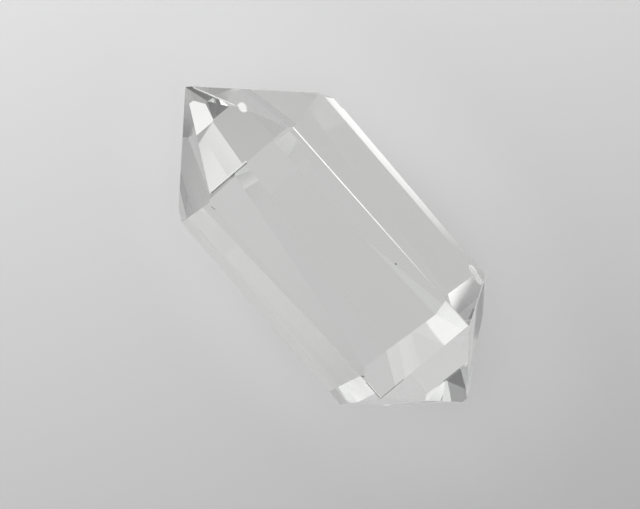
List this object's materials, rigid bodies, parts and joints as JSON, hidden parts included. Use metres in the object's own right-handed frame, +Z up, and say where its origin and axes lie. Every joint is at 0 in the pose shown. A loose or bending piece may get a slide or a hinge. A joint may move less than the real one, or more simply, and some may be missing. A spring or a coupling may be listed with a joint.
{
  "type": "double-terminated quartz crystal",
  "caption": "Clear six-sided quartz crystal with a faceted point at each end, lying on one prism face.",
  "frame": {"origin": "middle of the bounding box, at the height of the prism face it lies on", "axes": "+X along the crystal's long axis, towards the blunter point; +Z up, away from the face it lies on"},
  "size_m": [0.0236, 0.011, 0.012],
  "materials": {
    "quartz": "polished, water clear"
  },
  "bodies": {
    "root": {"crystal": "quartz"}
  },
  "joints": []
}
